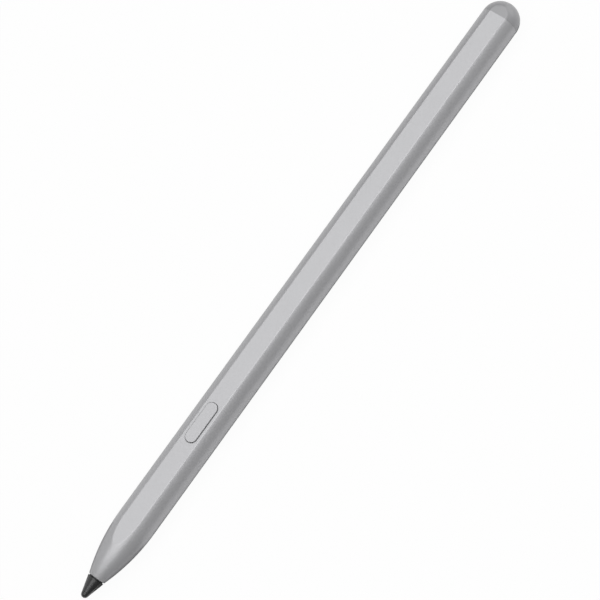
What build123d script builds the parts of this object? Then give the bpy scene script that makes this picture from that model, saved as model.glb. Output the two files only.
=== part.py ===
"""Stylus pen for a tablet, built as an assembly of separate pieces.

The pen lies along X with its nib toward -X, its flat side up and its round back on the table.
Sizes are in millimetres. Distances along the pen are counted from the tip of the nib, and
heights from the axis of the barrel.
"""

import os
from math import asin, atan2, cos, degrees, hypot, sin, sqrt

from build123d import *

# Whole pen
pen_length = 162.0
barrel_diameter = 9.0
barrel_wall = 0.8
flat_depth = 0.5

# Nose of the barrel
nose_length = 14.75
mouth_diameter = 3.98
mouth_edge = 0.1
stem_land_length = 3.4
mouth_bore_depth = 0.8
chamber_diameter = 4.4

# Nib, a cone with a rounded tip, a skirt that fills the mouth and a stem behind it
nib_length = 4.75
nib_base_diameter = 3.68
nib_base_edge = 0.1
nib_tip_radius = 0.72
nib_travel = 0.2
nib_spare_gap = 0.1
skirt_diameter = 3.4
skirt_length = 0.6
skirt_clearance = 0.08
stem_diameter = 2.2
stem_length = 3.0
stem_clearance = 0.1

# Nib shaft and its guide
pin_diameter = 1.0
pin_length = 4.6
pin_clearance = 0.02
shaft_diameter = 1.6
shaft_clearance = 0.04
bush_length = 4.0
bush_flange_length = 1.5
bush_fit = 0.02
electrode_wall = 0.4
collar_length = 0.8
collar_clearance = 0.5

# Return spring
spring_wire = 0.25
spring_wire_sides = 6
spring_turns = 4
spring_clearance = 0.2
spring_end_gap = 0.03

# Force sensor
holder_length = 4.6
holder_front_wall = 1.0
holder_bore_clearance = 0.1
holder_clearance = 0.15
holder_wall = 1.1
sensor_button_diameter = 3.0
sensor_base_length = 1.6
sensor_button_length = 0.6
sensor_fit = 0.05
pad_thickness = 0.6
pad_diameter = 2.2

# End cap
cap_rim = 0.25
cap_hollow_depth = 1.8
spigot_length = 5.0
spigot_wall = 0.7
spigot_fit = 0.03
seal_width = 1.0
seal_depth = 0.35
seal_setback = 2.2
seal_fit = 0.01

# Side button
button_distance = 45.1
button_length = 10.13
button_width = 2.83
button_gap = 0.1
button_rise = 0.4
button_edge = 0.12
button_travel = 0.2
button_slide_gap = 0.05
button_flange = 0.4
button_ear = 0.7
button_side_clearance = 0.2
button_nub_height = 0.3
button_nub_diameter = 1.6

# Switch under the button
switch_length = 3.0
switch_width = 2.6
switch_height = 0.9
switch_plunger_diameter = 1.2
switch_plunger_depth = 0.4
switch_plunger_clearance = 0.06
switch_spare_travel = 0.1

# Circuit board and what it carries
board_thickness = 0.8
board_tail = 14.6
board_corner = 0.6
board_clearance = 0.1
board_front_gap = 0.2
chip_margin = 0.8
processor_size = 3.8
processor_height = 0.75
power_chip_size = 2.4
power_chip_height = 0.6
shield_margin = 1.0
shield_width = 4.4
shield_height = 0.9
shield_wall = 0.12
radio_chip_size = 3.0
radio_chip_height = 0.55
capacitor_length = 1.0
capacitor_width = 0.5
capacitor_pitch = 1.5
capacitor_row_spacing = 2.6
capacitor_columns = 6
capacitor_rows = 2

# Chassis tray
chassis_clearance = 0.1
chassis_wall = 0.7
chassis_base_cut = 0.3
bulkhead_thickness = 1.0
tab_bay_length = 4.5
stop_rib_thickness = 0.8
stop_rib_clearance = 0.45
core_pocket_depth = 0.8
core_rib_length = 5.5
core_rib_width = 2.6
core_rib_pitch = 7.0
core_rib_depth = 2.0
core_rib_count = 5

# Battery
battery_fit = 0.05
battery_edge = 0.35
battery_bead_offset = 2.0
battery_bead_depth = 0.2
battery_bead_width = 0.6
terminal_diameter = 3.6
terminal_length = 0.4
tab_thickness = 0.12
tab_width = 1.2
tab_spacing = 1.7
tab_foot = 0.85
tab_overlap = 1.6
foam_width = 3.0
foam_inset = 4.0
foam_gap = 0.02

# Charging coil and magnets
core_length = 17.0
core_width = 3.4
core_height = 1.5
core_flange_length = 1.6
winding_depth = 0.35
winding_fit = 0.02
magnet_length = 5.0
magnet_width = 3.4
magnet_height = 1.5
magnet_chamfer = 0.15
magnet_spacing = 0.6
magnet_top_gap = 0.1
pocket_fit = 0.05
bay_rib = 1.0
rear_margin = 4.0

# Flexible circuits and antenna
flex_thickness = 0.15
flex_width = 2.4
flex_bend_radius = 0.4
flex_gap = 0.02
flex_overlap = 3.0
flex_riser_setback = 1.2
flex_riser_lean = 0.6
flex_window_margin = 0.5
flex_tail_rise = 0.5
sensor_flex_overlap = 2.0
antenna_board_length = 5.5
antenna_board_width = 2.8
antenna_board_thickness = 0.6
antenna_overhang = 1.4
antenna_chip_length = 3.2
antenna_chip_width = 1.6
antenna_chip_height = 0.9


# Places along the pen and heights above the axis, all from the sizes above
barrel_radius = barrel_diameter / 2
flat_height = barrel_radius - flat_depth
cavity_radius = barrel_radius - barrel_wall
inner_flat = flat_height - barrel_wall
chamber_radius = chamber_diameter / 2
stem_bore_radius = stem_diameter / 2 + stem_clearance
mouth_bore_radius = skirt_diameter / 2 + skirt_clearance

mouth = nib_length + nib_travel + nib_spare_gap
stem_end = nib_length + stem_length
land_end = mouth + stem_land_length
bush_end = land_end + bush_length
collar_end = bush_end + collar_length
nose_end = mouth + nose_length
holder_front = nose_end
chassis_start = holder_front + holder_length
sensor_front = chassis_start - sensor_base_length - sensor_button_length
pad_front = sensor_front - pad_thickness
holder_radius = cavity_radius - holder_clearance
sensor_radius = holder_radius - holder_wall - sensor_fit
dome_center = pen_length - barrel_radius
cap_seam = dome_center - cap_rim
spigot_front = cap_seam - spigot_length
chassis_end = spigot_front - spigot_fit

button_top = flat_height + button_rise
button_flange_top = inner_flat - button_slide_gap
button_flange_base = button_flange_top - button_flange
nub_base = button_flange_base - button_nub_height
switch_top = nub_base - button_travel - switch_spare_travel
board_top = switch_top - switch_height
board_base = board_top - board_thickness

board_start = chassis_start + bulkhead_thickness + board_front_gap
board_end = button_distance + board_tail
battery_start = board_end + tab_bay_length
rear_magnets_end = chassis_end - rear_margin
magnet_pair = 2 * magnet_length + magnet_spacing
core_end = rear_magnets_end - magnet_pair - bay_rib
core_start = core_end - core_length
front_magnets_end = core_start - bay_rib
front_magnets_start = front_magnets_end - magnet_pair
rear_bay_start = front_magnets_start - bay_rib
battery_end = rear_bay_start - battery_fit

chassis_radius = cavity_radius - chassis_clearance
trough_radius = chassis_radius - chassis_wall
chassis_base = -(chassis_radius - chassis_base_cut)
magnet_top = inner_flat - magnet_top_gap
core_floor = magnet_top - core_height
magnet_floor = magnet_top - magnet_height
rear_rail = core_floor + core_pocket_depth
battery_radius = trough_radius - battery_fit
spigot_inner_radius = cavity_radius - spigot_fit - spigot_wall
flex_low = chassis_base - flex_gap - flex_thickness / 2
flex_tail = flex_tail_rise - spigot_inner_radius


def station(distance):
    """X of a place at this distance from the tip of the nib."""
    return distance - pen_length / 2


pen_axis = Axis((0, 0, barrel_radius), (1, 0, 0))
side_plane = Plane(origin=(0, 0, barrel_radius), x_dir=(1, 0, 0), z_dir=(0, -1, 0))


def cross_plane(distance):
    """Plane across the pen, with Y to the right and Z up, looking from the rear end."""
    return Plane(origin=(station(distance), 0, barrel_radius), x_dir=(0, 1, 0), z_dir=(1, 0, 0))


def level_plane(height):
    """Horizontal plane at this height above the axis of the barrel."""
    return Plane.XY.offset(barrel_radius + height)


def d_section(radius, flat):
    """Round section with one flat on top."""
    with BuildSketch() as section:
        Circle(radius)
        with Locations((0, flat)):
            Rectangle(2 * radius, 2 * radius, align=(Align.CENTER, Align.MIN), mode=Mode.SUBTRACT)
    return section.sketch


def tray_section(radius, top, base):
    """Round section cut flat at a top and at a base height."""
    with BuildSketch() as section:
        Circle(radius)
        with Locations((0, top)):
            Rectangle(2 * radius, 2 * radius, align=(Align.CENTER, Align.MIN), mode=Mode.SUBTRACT)
        with Locations((0, base)):
            Rectangle(2 * radius, 2 * radius, align=(Align.CENTER, Align.MAX), mode=Mode.SUBTRACT)
    return section.sketch


# Barrel: one moulded shell with an ogive nose, a full-length flat and a stepped bore
with BuildPart() as barrel_bore:
    with BuildSketch(side_plane):
        with BuildLine():
            Polyline(
                (station(mouth), 0),
                (station(mouth), mouth_bore_radius),
                (station(mouth + mouth_bore_depth), mouth_bore_radius),
                (station(mouth + mouth_bore_depth), stem_bore_radius),
                (station(land_end), stem_bore_radius),
                (station(land_end), chamber_radius),
                (station(collar_end), chamber_radius),
                (station(nose_end), cavity_radius),
                (station(cap_seam), cavity_radius),
                (station(cap_seam), 0),
                close=True,
            )
        make_face()
    revolve(axis=pen_axis)
    split(bisect_by=level_plane(inner_flat), keep=Keep.BOTTOM)

slot_length = button_length + 2 * button_gap
slot_width = button_width + 2 * button_gap

with BuildPart() as barrel:
    with BuildSketch(side_plane):
        with BuildLine():
            TangentArc(
                (station(nose_end), barrel_radius),
                (station(mouth), mouth_diameter / 2),
                tangent=(-1, 0),
            )
            Polyline(
                (station(mouth), mouth_diameter / 2),
                (station(mouth), 0),
                (station(cap_seam), 0),
                (station(cap_seam), barrel_radius),
                (station(nose_end), barrel_radius),
            )
        make_face()
        chamfer(vertices().group_by(Axis.X)[0].sort_by(Axis.Y)[-1], mouth_edge)
    revolve(axis=pen_axis)
    split(bisect_by=level_plane(flat_height), keep=Keep.BOTTOM)
    add(barrel_bore.part, mode=Mode.SUBTRACT)
    with BuildSketch(level_plane(inner_flat)):
        with Locations((station(button_distance), 0)):
            SlotOverall(slot_length, slot_width)
    extrude(amount=barrel_wall, mode=Mode.SUBTRACT)

# End cap: hollow dome whose flat runs on from the barrel, with a keyed spigot
spigot_section = d_section(cavity_radius - spigot_fit, inner_flat - spigot_fit)
spigot_hollow = d_section(spigot_inner_radius, inner_flat - spigot_fit - spigot_wall)
seal_floor_radius = cavity_radius - spigot_fit - seal_depth
seal_floor = d_section(seal_floor_radius, inner_flat - spigot_fit - seal_depth)
seal_start = cap_seam - seal_setback - seal_width

with BuildPart() as end_cap:
    with BuildSketch(side_plane):
        with BuildLine():
            TangentArc(
                (station(dome_center), barrel_radius),
                (station(pen_length), 0),
                tangent=(1, 0),
            )
            Polyline(
                (station(pen_length), 0),
                (station(cap_seam), 0),
                (station(cap_seam), barrel_radius),
                (station(dome_center), barrel_radius),
            )
        make_face()
    revolve(axis=pen_axis)
    split(bisect_by=level_plane(flat_height), keep=Keep.BOTTOM)
    with BuildSketch(cross_plane(spigot_front)):
        add(spigot_section)
    extrude(amount=spigot_length)
    with BuildSketch(cross_plane(spigot_front)):
        add(spigot_hollow)
    extrude(amount=spigot_length + cap_hollow_depth, mode=Mode.SUBTRACT)
    with BuildSketch(cross_plane(seal_start)):
        add(spigot_section)
        add(seal_floor, mode=Mode.SUBTRACT)
    extrude(amount=seal_width, mode=Mode.SUBTRACT)

# Seal: elastomer band in the groove of the spigot
seal_outline = d_section(cavity_radius - seal_fit, inner_flat - seal_fit)
seal_inside = d_section(seal_floor_radius + seal_fit, inner_flat - spigot_fit - seal_depth + seal_fit)

with BuildPart() as cap_seal:
    with BuildSketch(cross_plane(seal_start + seal_fit)):
        add(seal_outline)
        add(seal_inside, mode=Mode.SUBTRACT)
    extrude(amount=seal_width - 2 * seal_fit)

# Nib: turned cone with a skirt and a stem, drilled from behind for the pin of the shaft. Its side
# runs straight from the base onto the round of the tip, and its half angle follows from the two.
nib_base_radius = nib_base_diameter / 2
cone_run = nib_length - nib_tip_radius
tip_angle = atan2(nib_base_radius, cone_run) - asin(nib_tip_radius / hypot(nib_base_radius, cone_run))
tip_run_x = nib_tip_radius * (1 - sin(tip_angle))
tip_run_r = nib_tip_radius * cos(tip_angle)
socket_radius = pin_diameter / 2 + pin_clearance

with BuildPart() as nib:
    with BuildSketch(side_plane):
        with BuildLine():
            TangentArc((station(0), 0), (station(tip_run_x), tip_run_r), tangent=(0, 1))
            Polyline(
                (station(tip_run_x), tip_run_r),
                (station(nib_length), nib_base_radius),
                (station(nib_length), skirt_diameter / 2),
                (station(nib_length + skirt_length), skirt_diameter / 2),
                (station(nib_length + skirt_length), stem_diameter / 2),
                (station(stem_end), stem_diameter / 2),
                (station(stem_end), socket_radius),
                (station(stem_end - pin_length - pin_clearance), socket_radius),
                (station(stem_end - pin_length - pin_clearance), 0),
                (station(0), 0),
            )
        make_face()
        chamfer(vertices().sort_by(Axis.Y)[-1], nib_base_edge)
    revolve(axis=pen_axis)

# Nib shaft: pin for the nib, shoulder, running length, stop collar and tail
shaft_radius = shaft_diameter / 2
collar_radius = chamber_radius - collar_clearance

with BuildPart() as nib_shaft:
    with BuildSketch(side_plane):
        with BuildLine():
            Polyline(
                (station(stem_end - pin_length), 0),
                (station(stem_end - pin_length), pin_diameter / 2),
                (station(stem_end), pin_diameter / 2),
                (station(stem_end), shaft_radius),
                (station(bush_end), shaft_radius),
                (station(bush_end), collar_radius),
                (station(collar_end), collar_radius),
                (station(collar_end), shaft_radius),
                (station(pad_front), shaft_radius),
                (station(pad_front), 0),
                close=True,
            )
        make_face()
    revolve(axis=pen_axis)

# Guide bush: flanged sleeve seated against the end of the narrow bore
bush_radius = chamber_radius - bush_fit
bush_neck_radius = bush_radius - electrode_wall - bush_fit
bush_flange_start = bush_end - bush_flange_length

with BuildPart() as guide_bush:
    with BuildSketch(side_plane):
        with BuildLine():
            Polyline(
                (station(land_end), shaft_radius + shaft_clearance),
                (station(land_end), bush_neck_radius),
                (station(bush_flange_start), bush_neck_radius),
                (station(bush_flange_start), bush_radius),
                (station(bush_end), bush_radius),
                (station(bush_end), shaft_radius + shaft_clearance),
                close=True,
            )
        make_face()
    revolve(axis=pen_axis)

# Tilt electrode: metal ring held between the bush flange and the nose
with BuildPart() as tilt_electrode:
    with BuildSketch(cross_plane(land_end)):
        Circle(bush_radius)
        Circle(bush_radius - electrode_wall, mode=Mode.SUBTRACT)
    extrude(amount=bush_flange_start - land_end)

# Return spring: six-sided wire between the collar and the sensor holder, wound in half turns, each
# a half circle leaned by half of the pitch. Its section is turned as the last half turn left it.
spring_radius = shaft_radius + spring_clearance + spring_wire / 2
spring_height = holder_front - collar_end - 2 * spring_end_gap - spring_wire
spring_start = collar_end + spring_end_gap + spring_wire / 2
half_pitch = spring_height / (2 * spring_turns)
half_turn_lean = degrees(atan2(half_pitch, 2 * spring_radius))

with BuildPart() as return_spring:
    for half_turn in range(2 * spring_turns):
        side = 1 if half_turn % 2 == 0 else -1
        wire_start = station(spring_start + half_turn * half_pitch)
        section_turn = -side * 2 * half_turn * half_turn_lean
        with BuildSketch(level_plane(0)):
            with Locations((wire_start, side * spring_radius)):
                RegularPolygon(spring_wire / 2, spring_wire_sides, rotation=section_turn)
        revolve(
            axis=Axis(
                (wire_start + half_pitch / 2, 0, barrel_radius),
                (2 * spring_radius, side * half_pitch, 0),
            ),
            revolution_arc=180,
        )

# Sensor holder: cup keyed by the flat, with a hole for the tail of the shaft
with BuildPart() as sensor_holder:
    with BuildSketch(side_plane):
        with BuildLine():
            Polyline(
                (station(holder_front), shaft_radius + holder_bore_clearance),
                (station(holder_front), holder_radius),
                (station(chassis_start), holder_radius),
                (station(chassis_start), sensor_radius + sensor_fit),
                (station(holder_front + holder_front_wall), sensor_radius + sensor_fit),
                (station(holder_front + holder_front_wall), shaft_radius + holder_bore_clearance),
                close=True,
            )
        make_face()
    revolve(axis=pen_axis)
    split(bisect_by=level_plane(inner_flat - holder_clearance), keep=Keep.BOTTOM)

# Force pad: elastomer disc that the tail of the shaft presses on
with BuildPart() as force_pad:
    with BuildSketch(cross_plane(pad_front)):
        Circle(pad_diameter / 2)
    extrude(amount=pad_thickness)

# Pressure sensor: stepped capsule that backs on the chassis
with BuildPart() as pressure_sensor:
    with BuildSketch(cross_plane(sensor_front)):
        Circle(sensor_button_diameter / 2)
    extrude(amount=sensor_button_length)
    with BuildSketch(cross_plane(sensor_front + sensor_button_length)):
        Circle(sensor_radius)
    extrude(amount=sensor_base_length)

# Chassis: tray with a bulkhead, a trough for the battery and pockets for coil and magnets
tray = tray_section(chassis_radius, board_base, chassis_base)
bulkhead = tray_section(chassis_radius, board_top, chassis_base)
rear_block = tray_section(chassis_radius, rear_rail, chassis_base)
stop_rib = tray_section(trough_radius + chassis_wall / 2, -tab_foot - stop_rib_clearance, chassis_base)
riser = board_end + flex_riser_setback
riser_foot = riser + flex_riser_lean
window_length = flex_riser_lean + 2 * (flex_bend_radius + flex_window_margin)
notch_start = chassis_end - rear_margin
notch_top = flex_tail + flex_window_margin
window_width = flex_width + 2 * flex_window_margin
sensor_flex_height = board_base - flex_gap - flex_thickness / 2
core_ribs_span = chassis_end - rear_bay_start

with BuildPart() as chassis:
    with BuildSketch(cross_plane(chassis_start)):
        add(tray)
    extrude(amount=chassis_end - chassis_start)
    with BuildSketch(cross_plane(rear_bay_start)):
        add(rear_block)
    extrude(amount=chassis_end - rear_bay_start)
    with BuildSketch(cross_plane(chassis_start + bulkhead_thickness)):
        Circle(trough_radius)
    extrude(amount=rear_bay_start - chassis_start - bulkhead_thickness, mode=Mode.SUBTRACT)
    with BuildSketch(cross_plane(chassis_start)):
        add(bulkhead)
    extrude(amount=bulkhead_thickness)
    with BuildSketch(cross_plane(battery_start - battery_fit - stop_rib_thickness)):
        add(stop_rib)
    extrude(amount=stop_rib_thickness)
    with BuildSketch(level_plane(magnet_floor)):
        for pocket_start in (front_magnets_start, rear_magnets_end - magnet_pair):
            with Locations((station(pocket_start + magnet_pair / 2), 0)):
                Rectangle(magnet_pair + 2 * pocket_fit, magnet_width + 2 * pocket_fit)
    extrude(amount=magnet_height, mode=Mode.SUBTRACT)
    with BuildSketch(level_plane(core_floor)):
        with Locations((station(core_start + core_length / 2), 0)):
            Rectangle(core_length + 2 * pocket_fit, core_width + 2 * pocket_fit)
    extrude(amount=core_height, mode=Mode.SUBTRACT)
    with BuildSketch(level_plane(chassis_base)):
        with Locations((station(rear_bay_start + core_ribs_span / 2 - rear_margin / 2), 0)):
            with GridLocations(core_rib_pitch, 1, core_rib_count, 1):
                Rectangle(core_rib_length, core_rib_width)
    extrude(amount=core_rib_depth, mode=Mode.SUBTRACT)
    with BuildSketch(level_plane(chassis_base)):
        with Locations((station((riser + riser_foot) / 2), 0)):
            Rectangle(window_length, window_width)
    extrude(amount=chassis_wall, mode=Mode.SUBTRACT)
    with BuildSketch(level_plane(chassis_base)):
        with Locations((station(notch_start), 0)):
            Rectangle(rear_margin, window_width, align=(Align.MIN, Align.CENTER))
    extrude(amount=notch_top - chassis_base, mode=Mode.SUBTRACT)
    with BuildSketch(cross_plane(chassis_start)):
        with Locations((0, sensor_flex_height)):
            Rectangle(flex_width + 2 * flex_gap, flex_thickness + 2 * flex_gap)
    extrude(amount=bulkhead_thickness, mode=Mode.SUBTRACT)

# Main board: rests on the rails of the chassis
board_width = 2 * sqrt((cavity_radius - board_clearance) ** 2 - board_top**2)
board_length = board_end - board_start

with BuildPart() as main_board:
    with BuildSketch(level_plane(board_base)):
        with Locations((station(board_start + board_length / 2), 0)):
            RectangleRounded(board_length, board_width, board_corner)
    extrude(amount=board_thickness)

# Chips at the front of the board
processor_center = board_start + chip_margin + processor_size / 2
power_chip_center = processor_center + processor_size / 2 + chip_margin + power_chip_size / 2

with BuildPart() as processor:
    with BuildSketch(level_plane(board_top)):
        with Locations((station(processor_center), 0)):
            Rectangle(processor_size, processor_size)
    extrude(amount=processor_height)

with BuildPart() as power_chip:
    with BuildSketch(level_plane(board_top)):
        with Locations((station(power_chip_center), 0)):
            Rectangle(power_chip_size, power_chip_size)
    extrude(amount=power_chip_height)

# Capacitors in two rows under the board
capacitor_start = board_start + sensor_flex_overlap + chip_margin + capacitor_length / 2
capacitor_center = capacitor_start + capacitor_pitch * (capacitor_columns - 1) / 2

with BuildPart() as board_capacitors:
    with BuildSketch(level_plane(board_base)):
        with Locations((station(capacitor_center), 0)):
            with GridLocations(capacitor_pitch, capacitor_row_spacing, capacitor_columns, capacitor_rows):
                Rectangle(capacitor_length, capacitor_width)
    extrude(amount=-capacitor_width)

# Radio chip under its folded metal lid, behind the switch
shield_start = button_distance + switch_length / 2 + shield_margin
shield_end = board_end - tab_overlap - shield_margin
shield_center = (shield_start + shield_end) / 2
shield_length = shield_end - shield_start

with BuildPart() as shield_can:
    with BuildSketch(level_plane(board_top)):
        with Locations((station(shield_center), 0)):
            Rectangle(shield_length, shield_width)
    extrude(amount=shield_height)
    with BuildSketch(level_plane(board_top)):
        with Locations((station(shield_center), 0)):
            Rectangle(shield_length - 2 * shield_wall, shield_width - 2 * shield_wall)
    extrude(amount=shield_height - shield_wall, mode=Mode.SUBTRACT)

with BuildPart() as radio_chip:
    with BuildSketch(level_plane(board_top)):
        with Locations((station(shield_center), 0)):
            Rectangle(radio_chip_size, radio_chip_size)
    extrude(amount=radio_chip_height)

# Switch: body on the board and the plunger that the button pushes
plunger_base = switch_top - switch_plunger_depth

with BuildPart() as switch_body:
    with BuildSketch(level_plane(board_top)):
        with Locations((station(button_distance), 0)):
            Rectangle(switch_length, switch_width)
    extrude(amount=switch_height)
    with BuildSketch(level_plane(plunger_base - button_travel - switch_plunger_clearance)):
        with Locations((station(button_distance), 0)):
            Circle(switch_plunger_diameter / 2 + switch_plunger_clearance)
    extrude(amount=switch_height, mode=Mode.SUBTRACT)

with BuildPart() as switch_plunger:
    with BuildSketch(level_plane(plunger_base)):
        with Locations((station(button_distance), 0)):
            Circle(switch_plunger_diameter / 2)
    extrude(amount=nub_base - plunger_base)

# Side button: pill that stands a little out of the flat, kept in by a flange with an ear at each end
flange_half_width = sqrt(cavity_radius**2 - button_flange_top**2) - button_side_clearance

with BuildPart() as side_button:
    with BuildSketch(level_plane(button_flange_base)):
        with Locations((station(button_distance), 0)):
            SlotOverall(button_length, button_width)
    extrude(amount=button_top - button_flange_base)
    chamfer(side_button.faces().sort_by(Axis.Z)[-1].edges(), button_edge)
    with BuildSketch(level_plane(button_flange_base)):
        with Locations((station(button_distance), 0)):
            SlotOverall(slot_length + 2 * button_ear, 2 * flange_half_width)
    extrude(amount=button_flange)
    with BuildSketch(level_plane(nub_base)):
        with Locations((station(button_distance), 0)):
            Circle(button_nub_diameter / 2)
    extrude(amount=button_nub_height)

# Battery: drawn can with a bead behind its rim, and an insulated terminal disc
can_start = battery_start + terminal_length
bead_start = can_start + battery_bead_offset
bead_middle = bead_start + battery_bead_width / 2
bead_end = bead_start + battery_bead_width

with BuildPart() as battery_cell:
    with BuildSketch(side_plane):
        with BuildLine():
            Polyline(
                (station(can_start), 0),
                (station(can_start), battery_radius - battery_edge),
                (station(can_start + battery_edge), battery_radius),
                (station(bead_start), battery_radius),
                (station(bead_middle), battery_radius - battery_bead_depth),
                (station(bead_end), battery_radius),
                (station(battery_end - battery_edge), battery_radius),
                (station(battery_end), battery_radius - battery_edge),
                (station(battery_end), 0),
                close=True,
            )
        make_face()
    revolve(axis=pen_axis)

with BuildPart() as battery_terminal:
    with BuildSketch(cross_plane(battery_start)):
        Circle(terminal_diameter / 2)
    extrude(amount=terminal_length)

# Battery tabs: strips from the terminal disc to the top of the board
tab_reach = battery_start - board_end + tab_overlap
tab_half_spacing = tab_spacing / 2


def tab_outline(side):
    """Bent strip at one side of the pen, seen from the side."""
    with BuildPart() as tab:
        with BuildSketch(side_plane.offset(side)):
            with BuildLine():
                Polyline(
                    (station(battery_start), -tab_foot),
                    (station(battery_start), board_top + tab_thickness),
                    (station(battery_start - tab_reach), board_top + tab_thickness),
                    (station(battery_start - tab_reach), board_top),
                    (station(battery_start - tab_thickness), board_top),
                    (station(battery_start - tab_thickness), -tab_foot),
                    close=True,
                )
            make_face()
        extrude(amount=tab_width / 2, both=True)
    return tab


battery_tab_left = tab_outline(-tab_half_spacing)
battery_tab_right = tab_outline(tab_half_spacing)


# Foam strip: fills the space between the battery and the flat of the barrel
foam_start = bead_end + foam_inset
foam_length = battery_end - foam_inset - foam_start

with BuildPart() as battery_foam:
    with BuildSketch(level_plane(inner_flat - foam_gap)):
        with Locations((station(foam_start), 0)):
            Rectangle(foam_length, foam_width, align=(Align.MIN, Align.CENTER))
    extrude(amount=-battery_radius)
    with BuildSketch(cross_plane(foam_start - foam_gap)):
        Circle(battery_radius)
        Rectangle(2 * battery_radius, 2 * battery_radius, align=(Align.CENTER, Align.MAX))
    extrude(amount=foam_length + 2 * foam_gap, mode=Mode.SUBTRACT)

# Ferrite core: bar with two end cheeks, and the winding between them
core_center = core_start + core_length / 2
winding_length = core_length - 2 * core_flange_length

with BuildPart() as ferrite_core:
    with BuildSketch(level_plane(core_floor)):
        with Locations((station(core_center), 0)):
            Rectangle(core_length, core_width)
    extrude(amount=core_height)
    with BuildSketch(cross_plane(core_start + core_flange_length)):
        with Locations((0, core_floor + core_height / 2)):
            Rectangle(core_width, core_height)
            Rectangle(
                core_width - 2 * winding_depth,
                core_height - 2 * winding_depth,
                mode=Mode.SUBTRACT,
            )
    extrude(amount=winding_length, mode=Mode.SUBTRACT)

with BuildPart() as charging_coil:
    with BuildSketch(cross_plane(core_start + core_flange_length + winding_fit)):
        with Locations((0, core_floor + core_height / 2)):
            RectangleRounded(
                core_width - 2 * winding_fit,
                core_height - 2 * winding_fit,
                winding_depth,
            )
            Rectangle(
                core_width - 2 * winding_depth + 2 * winding_fit,
                core_height - 2 * winding_depth + 2 * winding_fit,
                mode=Mode.SUBTRACT,
            )
    extrude(amount=winding_length - 2 * winding_fit)


# Magnets: two blocks in front of the coil and two behind it
def magnet_block(start):
    """Bar magnet with broken edges."""
    with BuildPart() as block:
        with BuildSketch(level_plane(magnet_floor)):
            with Locations((station(start), 0)):
                Rectangle(magnet_length, magnet_width, align=(Align.MIN, Align.CENTER))
        extrude(amount=magnet_height)
        chamfer(block.edges().filter_by(Axis.X), magnet_chamfer)
    return block


rear_magnets_start = rear_magnets_end - magnet_pair
magnet_1 = magnet_block(front_magnets_start)
magnet_2 = magnet_block(front_magnets_end - magnet_length)
magnet_3 = magnet_block(rear_magnets_start)
magnet_4 = magnet_block(rear_magnets_end - magnet_length)

# Sensor flex: short strip through the bulkhead to the underside of the board
with BuildPart() as sensor_flex:
    with BuildSketch(level_plane(sensor_flex_height)):
        with Locations((station(chassis_start), 0)):
            Rectangle(
                board_start - chassis_start + sensor_flex_overlap,
                flex_width,
                align=(Align.MIN, Align.CENTER),
            )
    extrude(amount=flex_thickness / 2, both=True)

# Main flex: from the board through the tray floor, along its base and up into the end cap
antenna_end = cap_seam + antenna_overhang

with BuildPart() as main_flex:
    with BuildSketch(side_plane):
        with BuildLine() as flex_route:
            FilletPolyline(
                (station(board_end - flex_overlap), sensor_flex_height),
                (station(riser), sensor_flex_height),
                (station(riser_foot), flex_low),
                (station(notch_start + flex_window_margin), flex_low),
                (station(notch_start + rear_margin / 2), flex_tail),
                (station(antenna_end), flex_tail),
                radius=flex_bend_radius,
            )
        trace(flex_route.line, line_width=flex_thickness)
    extrude(amount=flex_width / 2, both=True)

# Antenna: small board on the tail of the flex with a ceramic block on it
antenna_floor = flex_tail + flex_thickness / 2
antenna_center = antenna_end - antenna_board_length / 2

with BuildPart() as antenna_board:
    with BuildSketch(level_plane(antenna_floor)):
        with Locations((station(antenna_center), 0)):
            Rectangle(antenna_board_length, antenna_board_width)
    extrude(amount=antenna_board_thickness)

with BuildPart() as antenna_chip:
    with BuildSketch(level_plane(antenna_floor + antenna_board_thickness)):
        with Locations((station(antenna_center), 0)):
            Rectangle(antenna_chip_length, antenna_chip_width)
    extrude(amount=antenna_chip_height)

# Export, one file for each piece
pieces = {
    "barrel": barrel,
    "end_cap": end_cap,
    "cap_seal": cap_seal,
    "nib": nib,
    "nib_shaft": nib_shaft,
    "guide_bush": guide_bush,
    "tilt_electrode": tilt_electrode,
    "return_spring": return_spring,
    "sensor_holder": sensor_holder,
    "force_pad": force_pad,
    "pressure_sensor": pressure_sensor,
    "sensor_flex": sensor_flex,
    "chassis": chassis,
    "main_board": main_board,
    "processor": processor,
    "power_chip": power_chip,
    "board_capacitors": board_capacitors,
    "shield_can": shield_can,
    "radio_chip": radio_chip,
    "switch_body": switch_body,
    "switch_plunger": switch_plunger,
    "side_button": side_button,
    "battery_cell": battery_cell,
    "battery_terminal": battery_terminal,
    "battery_tab_left": battery_tab_left,
    "battery_tab_right": battery_tab_right,
    "battery_foam": battery_foam,
    "ferrite_core": ferrite_core,
    "charging_coil": charging_coil,
    "magnet_1": magnet_1,
    "magnet_2": magnet_2,
    "magnet_3": magnet_3,
    "magnet_4": magnet_4,
    "main_flex": main_flex,
    "antenna_board": antenna_board,
    "antenna_chip": antenna_chip,
}

os.makedirs("parts", exist_ok=True)
for name, piece in pieces.items():
    piece.part.label = name
    export_step(piece.part, f"parts/{name}.step")
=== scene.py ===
from math import asin, atan2, cos, hypot, pi, radians, sin, sqrt

import bmesh
import bpy
from mathutils import Matrix, Vector


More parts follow.
